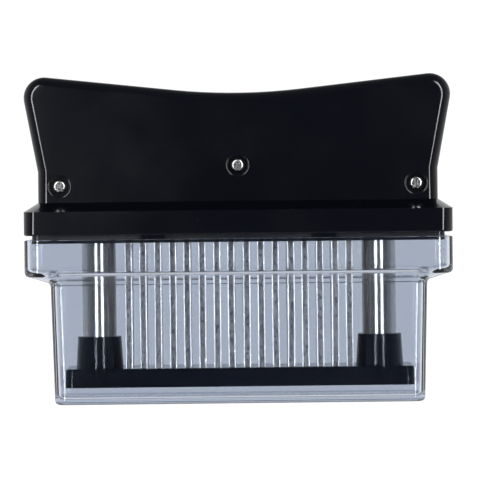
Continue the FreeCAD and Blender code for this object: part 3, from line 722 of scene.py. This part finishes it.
# %% [markdown]
# ## The blades
# A blade is a strip of rolled steel. Both long edges are ground, first to a shallow bevel that catches
# the light and then to the cutting edge, and the lower end is pointed. One blade is modelled from a
# cube: its sides are extruded and squeezed for the bevels, and its foot is squeezed for the point. The
# copies lean and bow a little, each by its own small amount, as the real ones do.

# %% Model one blade and its copies
BLADE_WIDTH = 2.6 * MM
BLADE_THICKNESS = 0.6 * MM
BLADE_BEVEL = 0.33 * MM
BLADE_EDGE = 0.08 * MM
BLADE_POINT = 2.4 * MM
BLADE_PITCH = 5.18 * MM
BLADE_CUTS = 11
BEVEL_SHARE = 0.78
EDGE_SHARE = 0.12
POINT_SHARE = (0.08, 0.3, 1)
LEAN_MOST = 0.22 * MM
BOW_MOST = 0.20 * MM


def model_blade(low, high, middle_y):
    """One blade at the left end of its row, from a cube."""
    half = BLADE_WIDTH / 2
    flat = half - BLADE_BEVEL - BLADE_EDGE
    thick = BLADE_THICKNESS / 2
    start_x = low.x + half
    blade = start_block(
        "blade", (start_x - flat, middle_y - thick, low.z), (start_x + flat, middle_y + thick, high.z)
    )
    edit(blade)
    for sign in (-1, 1):
        pick(blade, "faces", lambda face: face.normal.x * sign > 0.9)
        for step, thinner in ((BLADE_BEVEL, BEVEL_SHARE), (BLADE_EDGE, EDGE_SHARE)):
            bpy.ops.mesh.extrude_region_move(TRANSFORM_OT_translate={"value": (sign * step, 0, 0)})
            resize_picked((1, thinner, 1), (start_x, middle_y, 0))
    bpy.ops.mesh.select_all(action="SELECT")
    bpy.ops.mesh.bisect(plane_co=(0, 0, low.z + BLADE_POINT), plane_no=(0, 0, 1))
    pick(blade, "verts", lambda vert: vert.co.z < low.z + 1e-6)
    resize_picked(POINT_SHARE, (start_x, middle_y, 0))
    pick(blade, "edges", edge_along(2, lambda point: point.z > low.z + BLADE_POINT))
    bpy.ops.mesh.subdivide(number_cuts=BLADE_CUTS)
    leave_edit()
    face_outwards(blade)
    return blade


def paint_blade(blade):
    """The flats keep the rolled skin, and everything past them is ground."""
    blade.data.materials.append(blade_skin)
    blade.data.materials.append(blade_ground)
    edit(blade)
    give_material(blade, 1, lambda face: abs(face.normal.y) < 0.995)
    leave_edit()


def lean_blade(blade, number, row, low, high):
    """Bow a copy sideways between its clamped top and the foot's slot."""
    lean = LEAN_MOST * math.sin(number * 2.4 + row * 1.7)
    bow = BOW_MOST * math.sin(number * 4.1 + row * 0.9 + 0.6)
    for vert in blade.data.vertices:
        along = (high.z - vert.co.z) / (high.z - low.z)
        vert.co.x += lean * along * (1 - along) * 1.6 + bow * math.sin(math.pi * along) * 0.6


for row, name in enumerate(("front", "middle", "rear")):
    low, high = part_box(f"blades_{name}")
    middle_y = (low.y + high.y) / 2
    first = model_blade(low, high, middle_y)
    paint_blade(first)
    count = round((high.x - low.x - BLADE_WIDTH) / BLADE_PITCH) + 1
    copies = []
    for number in range(count):
        blade = copy_piece(first, f"blade_{name}_{number}", (BLADE_PITCH * number, 0, 0))
        lean_blade(blade, number, row, low, high)
        copies.append(blade)
    bpy.data.objects.remove(first)
    blades = join_pieces(copies, f"steel_blades_{name}")
    finish_piece(blades, "handle", None, "blade_steel", f"blades_{name}")

# %% [markdown]
# ## The handle, base plate and pressure foot
# These are moulded with rounded edges that have to run softly into the flats, or the polished black
# would show facets. Each gets a copy of its solid's surface, welded along its seams, with its normals
# smoothed where faces meet softly and weighted so that the flats stay flat.


# %% Smooth the mouldings
def smoothed_moulding(node_name, name, degrees):
    made = bpy.data.objects.new(name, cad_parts[node_name].data.copy())
    bpy.context.scene.collection.objects.link(made)
    made.data.name = name
    edit(made)
    bpy.ops.mesh.select_all(action="SELECT")
    bpy.ops.mesh.customdata_custom_splitnormals_clear()
    bpy.ops.mesh.remove_doubles(threshold=2e-6)
    leave_edit()
    smooth(made, degrees)
    return made


front_shell = smoothed_moulding("front_handle_shell", "front_shell", 32)
rear_shell = smoothed_moulding("rear_handle_shell", "rear_shell", 32)
moulded_plate = smoothed_moulding("base_plate", "moulded_plate", 32)
moulded_foot = smoothed_moulding("pressure_foot", "moulded_foot", 50)
finish_piece(front_shell, "handle", handle_black, "handle_plastic", "front_handle_shell")
finish_piece(rear_shell, "handle", handle_black, "handle_plastic", "rear_handle_shell")
finish_piece(moulded_plate, "handle", plate_black, "plate_plastic", "base_plate")
finish_piece(moulded_foot, "foot", foot_black, "foot_plastic", "pressure_foot")

# %% [markdown]
# ## The handle's screws
# Three pan-head screws hold the two halves of the handle together. A head is a short cylinder whose
# front rim is rounded into a dome. Two crossed tapered blocks cut its recess, and a shank is welded on
# behind.

# %% Model one screw and its copies
HEAD_RADIUS = 2.4 * MM
HEAD_HEIGHT = 1.9 * MM
HEAD_ROUND = 0.9 * MM
SHANK_RADIUS = 1.3 * MM
SCREW_REACH = 17.2 * MM
RECESS_LENGTH = 3.1 * MM
RECESS_WIDTH = 0.85 * MM
RECESS_DEPTH = 1.1 * MM
RECESS_END_TAPER = 0.45
RECESS_SIDE_TAPER = 0.75
HEAD_BREAK = 0.12 * MM
SHANK_OVERLAP = 0.1 * MM
SHANK_POINT = 0.8 * MM


def model_recess(middle, front, turn):
    """One arm of the cross: a block that narrows towards its bottom."""
    length, width = RECESS_LENGTH / 2, RECESS_WIDTH / 2
    across, upright = RECESS_END_TAPER, RECESS_SIDE_TAPER
    if turn:
        length, width = width, length
        across, upright = upright, across
    low = (middle.x - length, front - MM, middle.z - width)
    high = (middle.x + length, front + RECESS_DEPTH, middle.z + width)
    arm = start_block("recess_arm", low, high)
    edit(arm)
    pick(arm, "faces", lambda face: face.normal.y > 0.9)
    resize_picked((across, 1, upright), middle)
    leave_edit()
    return arm


def model_screw(middle, front):
    seat = front + HEAD_HEIGHT
    head_middle = (middle.x, (front + seat) / 2, middle.z)
    head = start_cylinder("screw", head_middle, HEAD_RADIUS, HEAD_HEIGHT, axis="Y", sides=72)
    edit(head)
    pick(head, "edges", lambda edge: all(abs(vert.co.y - front) < 1e-6 for vert in edge.verts))
    bevel_picked(HEAD_ROUND, 8)
    pick(head, "edges", lambda edge: all(abs(vert.co.y - seat) < 1e-6 for vert in edge.verts))
    bevel_picked(HEAD_BREAK, 2)
    leave_edit()
    shank_middle = (middle.x, seat + SCREW_REACH / 2 - SHANK_OVERLAP, middle.z)
    shank_length = SCREW_REACH + SHANK_OVERLAP * 2
    shank = start_cylinder("shank", shank_middle, SHANK_RADIUS, shank_length, axis="Y", sides=32)
    edit(shank)
    end = shank_middle[1] + SCREW_REACH / 2
    pick(shank, "edges", lambda edge: all(vert.co.y > end for vert in edge.verts))
    bevel_picked(SHANK_POINT, 2)
    leave_edit()
    weld_on(head, shank)
    cut_with(head, model_recess(middle, front, False))
    cut_with(head, model_recess(middle, front, True))
    smooth(head, 30)
    return head


screws_low, screws_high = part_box("handle_screws")
screw_span = (screws_high.x - screws_low.x) / 2 - HEAD_RADIUS
low_level = screws_low.z + HEAD_RADIUS
high_level = screws_high.z - HEAD_RADIUS
left_middle = Vector((-screw_span, 0, low_level))
left_screw = model_screw(left_middle, screws_low.y)
middle_screw = copy_piece(left_screw, "middle_screw", (screw_span, 0, high_level - low_level))
right_screw = copy_piece(left_screw, "right_screw", (screw_span * 2, 0, 0))
left_screw.name = "left_screw"
for screw in (left_screw, middle_screw, right_screw):
    finish_piece(screw, "handle", screw_chrome, "screw_chrome", "handle_screws")

# %% [markdown]
# ## The return springs
# Each spring stands on the plug of its column and presses on a seat in the handle. Here each gets a
# smoothed copy of its CAD surface in spring steel, fixed where it stands.


# %% Smooth the springs
def fit_spring(side):
    coil = smoothed_moulding(f"spring_{side}", f"return_spring_{side}", 60)
    paint(coil, spring_steel)
    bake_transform(coil)
    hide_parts(f"spring_{side}")
    print(coil.name, "has", len(coil.data.polygons), "faces")


for side in ("left", "right"):
    fit_spring(side)

# %% [markdown]
# ## Finishes of the inner pieces
# The holders, bushes, seats, plugs and stop rings sit inside the handle and the columns. They keep their
# shape as built and only change material.

# %% Dress the inner pieces
dressed = {
    holder_grey: ["blade_holder_front", "blade_holder_middle", "blade_holder_rear"],
    bush_white: ["guide_bush_left", "guide_bush_right", "spring_seat_left", "spring_seat_right"],
    screw_chrome: ["foot_screws"],
    plain_steel: ["column_stop_left", "column_stop_right"],
    plug_brass: ["column_plug_left", "column_plug_right"],
}
for material, names in dressed.items():
    for name in names:
        paint(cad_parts[name], material)

# %% [markdown]
# ## Floor, backdrop and light
# The tool stands on a white sweep that glows evenly, as a lit paper does, and reaches far to both sides,
# so that the clear cover's edges stay light. The room in front is dim, so the polished handle mirrors
# almost nothing and stays black. The paper in front of the tool is left out of reflections for the same
# reason. Two narrow softboxes stand either side of the lens, and each column shows them as two thin
# bright lines. A faint panel beside the lens lifts the handle's left end.

# %% Build the stage
FLOOR_FRONT = -0.70
PAPER_SEAM = -0.023
PAPER_DROP = 0.0002
FLOOR_BACK = 3.4
FLOOR_HALF = 6.0
SWEEP_HEIGHT = 2.6
SWEEP_ROUND = 0.6


def model_paper(name, front, back):
    """A flat sheet of paper just under the tool."""
    deselect_all()
    bpy.ops.mesh.primitive_plane_add(size=1, location=(0, (front + back) / 2, -PAPER_DROP))
    sheet = bpy.context.active_object
    sheet.scale = (FLOOR_HALF * 2, back - front, 1)
    return settle(sheet, name)


def model_sweep():
    sweep = model_paper("white_sweep", PAPER_SEAM, FLOOR_BACK)
    edit(sweep)
    pick(sweep, "edges", edge_along(0, lambda point: point.y > FLOOR_BACK - 1e-4))
    raise_picked(SWEEP_HEIGHT)
    at_fold = edge_along(0, lambda point: abs(point.y - FLOOR_BACK) < 1e-4 and point.z < 1e-4)
    pick(sweep, "edges", at_fold)
    bevel_picked(SWEEP_ROUND, 12)
    leave_edit()
    smooth(sweep, 60)
    return sweep


def paper_paint():
    g = Graph("paper_paint")
    g.set(
        Base_Color=(0.10, 0.10, 0.10),
        Roughness=g.ramp(g.noise(3, 2), 0.3, 0.7, 0.85, 0.95),
        Emission_Color=(1.0, 1.0, 1.0, 1.0),
        Emission_Strength=1.0,
    )
    return g.material


paper = paper_paint()
sweep = model_sweep()
front_paper = model_paper("front_paper", FLOOR_FRONT, PAPER_SEAM)
front_paper.visible_glossy = False
front_paper.visible_transmission = False
for sheet in (sweep, front_paper):
    sheet.data.materials.append(paper)

# %% [markdown]
# The room is dark in front and grows lighter towards the sides and the back, as round a light table.
# What shows behind the tool is plain white from every side.

# %% Light the room
world = bpy.data.worlds.new("studio_room")
bpy.context.scene.world = world
world.use_nodes = True
room_nodes = world.node_tree.nodes
room_links = world.node_tree.links
direction = room_nodes.new("ShaderNodeTexCoord")
split = room_nodes.new("ShaderNodeSeparateXYZ")
from_front = room_nodes.new("ShaderNodeMapRange")
from_front.inputs["From Min"].default_value = -1.0
shades = room_nodes.new("ShaderNodeValToRGB")
ROOM_STOPS = ((0.0, 0.02), (0.05, 0.03), (0.13, 0.22), (0.3, 0.50), (0.5, 0.8), (0.68, 1.0))
ROOM_CEILING = 0.25
while len(shades.color_ramp.elements) < len(ROOM_STOPS):
    shades.color_ramp.elements.new(0.5)
for element, (position, grey) in zip(shades.color_ramp.elements, ROOM_STOPS):
    element.position = position
    element.color = (grey * 0.96, grey * 0.98, grey, 1)
room_links.new(direction.outputs["Generated"], split.inputs[0])
room_links.new(split.outputs["Y"], from_front.inputs["Value"])
room_links.new(from_front.outputs[0], shades.inputs[0])
overhead = room_nodes.new("ShaderNodeMapRange")
overhead.inputs["From Min"].default_value = 0.25
overhead.inputs["From Max"].default_value = 0.9
overhead.inputs["To Min"].default_value = 1.0
overhead.inputs["To Max"].default_value = ROOM_CEILING
room_links.new(split.outputs["Z"], overhead.inputs["Value"])
room_links.new(shades.outputs["Color"], room_nodes["Background"].inputs["Color"])
room_links.new(overhead.outputs[0], room_nodes["Background"].inputs["Strength"])
backdrop = room_nodes.new("ShaderNodeBackground")
backdrop.inputs["Color"].default_value = (1, 1, 1, 1)
ray = room_nodes.new("ShaderNodeLightPath")
seen = room_nodes.new("ShaderNodeMixShader")
room_links.new(ray.outputs["Is Camera Ray"], seen.inputs[0])
room_links.new(room_nodes["Background"].outputs[0], seen.inputs[1])
room_links.new(backdrop.outputs[0], seen.inputs[2])
room_links.new(seen.outputs[0], room_nodes["World Output"].inputs["Surface"])


LAMP_HEIGHT = 0.25
LAMP_TALL = 0.9
LAMP_AIM_HEIGHT = 0.06


def add_softbox(name, azimuth, distance, width, power):
    """A tall soft light that faces the tool; azimuth 0 is the camera's side."""
    data = bpy.data.lights.new(name, "AREA")
    data.shape = "RECTANGLE"
    data.size = width
    data.size_y = LAMP_TALL
    data.energy = power
    lamp = bpy.data.objects.new(name, data)
    turn = math.radians(azimuth)
    lamp.location = (math.sin(turn) * distance, -math.cos(turn) * distance, LAMP_HEIGHT)
    aim = Vector((0, 0, LAMP_AIM_HEIGHT)) - lamp.location
    lamp.rotation_euler = aim.to_track_quat("-Z", "Y").to_euler()
    bpy.context.scene.collection.objects.link(lamp)
    return lamp


add_softbox("softbox_left", -20, 1.3, 0.22, 10)
add_softbox("softbox_right", 20, 1.3, 0.22, 10)
add_softbox("left_fill", -11.5, 1.5, 0.34, 0.45)

view = bpy.context.scene.view_settings
view.view_transform = "Standard"
view.look = "None"
